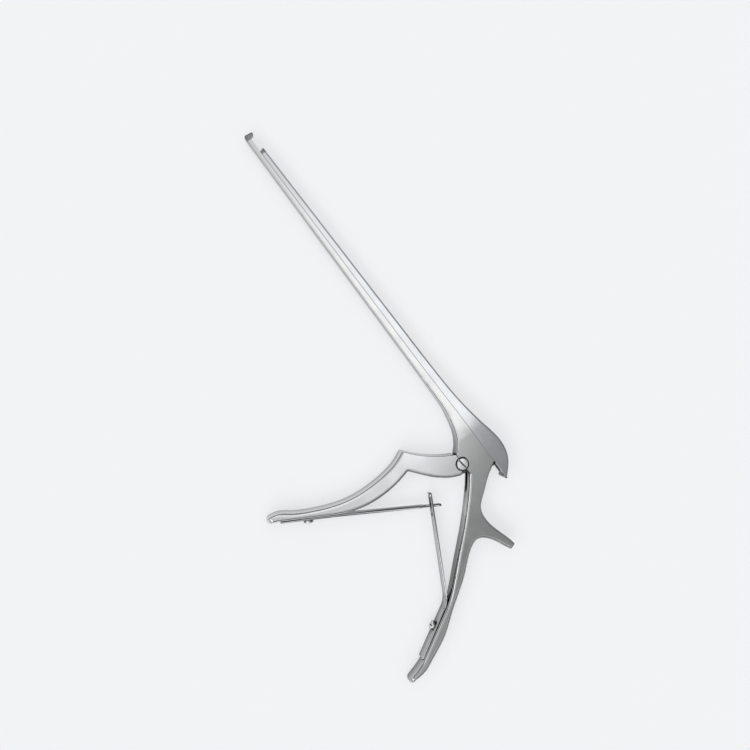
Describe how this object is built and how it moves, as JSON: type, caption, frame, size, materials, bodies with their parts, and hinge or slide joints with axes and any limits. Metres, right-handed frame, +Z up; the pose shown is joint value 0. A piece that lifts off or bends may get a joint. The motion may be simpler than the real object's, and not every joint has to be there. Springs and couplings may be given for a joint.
{
  "type": "bone rongeur",
  "caption": "Surgical bone punch with a slim straight shaft, a cutting slide that closes on an upright footplate, and sprung pistol grip handles.",
  "frame": {"origin": "middle of the bounding box, on the plane that the instrument lies on", "axes": "+X along the shaft from the footplate to the rear handle, +Y from the handles to the cutting slide, +Z up from the resting side to the side with the pivot screw's head"},
  "size_m": [0.2494, 0.1098, 0.0101],
  "materials": {
    "satin_steel": "satin",
    "screw_steel": "satin",
    "spring_steel": "satin"
  },
  "bodies": {
    "frame": {"fixed_handle": "satin_steel", "pivot_screw": "screw_steel", "rear_leaf_spring": "spring_steel", "rear_spring_screw": "screw_steel"},
    "front_handle": {"front_handle": "satin_steel", "front_leaf_spring": "spring_steel", "front_spring_screw": "screw_steel"},
    "slide": {"cutting_slide": "satin_steel", "drive_pin": "screw_steel"}
  },
  "joints": [
    {"name": "handle_squeeze", "type": "hinge", "parent": "frame", "child": "front_handle", "pos_m": [0.05716, 0.03327, 0.00475], "axis": [0, 0, 1], "range_deg": [0, 26.66], "stiffness_Nm_per_rad": 1.5, "springref_deg": -8.59, "deforming": ["front_leaf_spring", "rear_leaf_spring"]},
    {"name": "slide_travel", "type": "slide", "parent": "frame", "child": "slide", "axis": [-1, 0, 0], "range_m": [0, 0.0073]}
  ],
  "couplings": [
    {"joint": "slide_travel", "follows": "handle_squeeze", "m_per_rad": 0.015684}
  ]
}
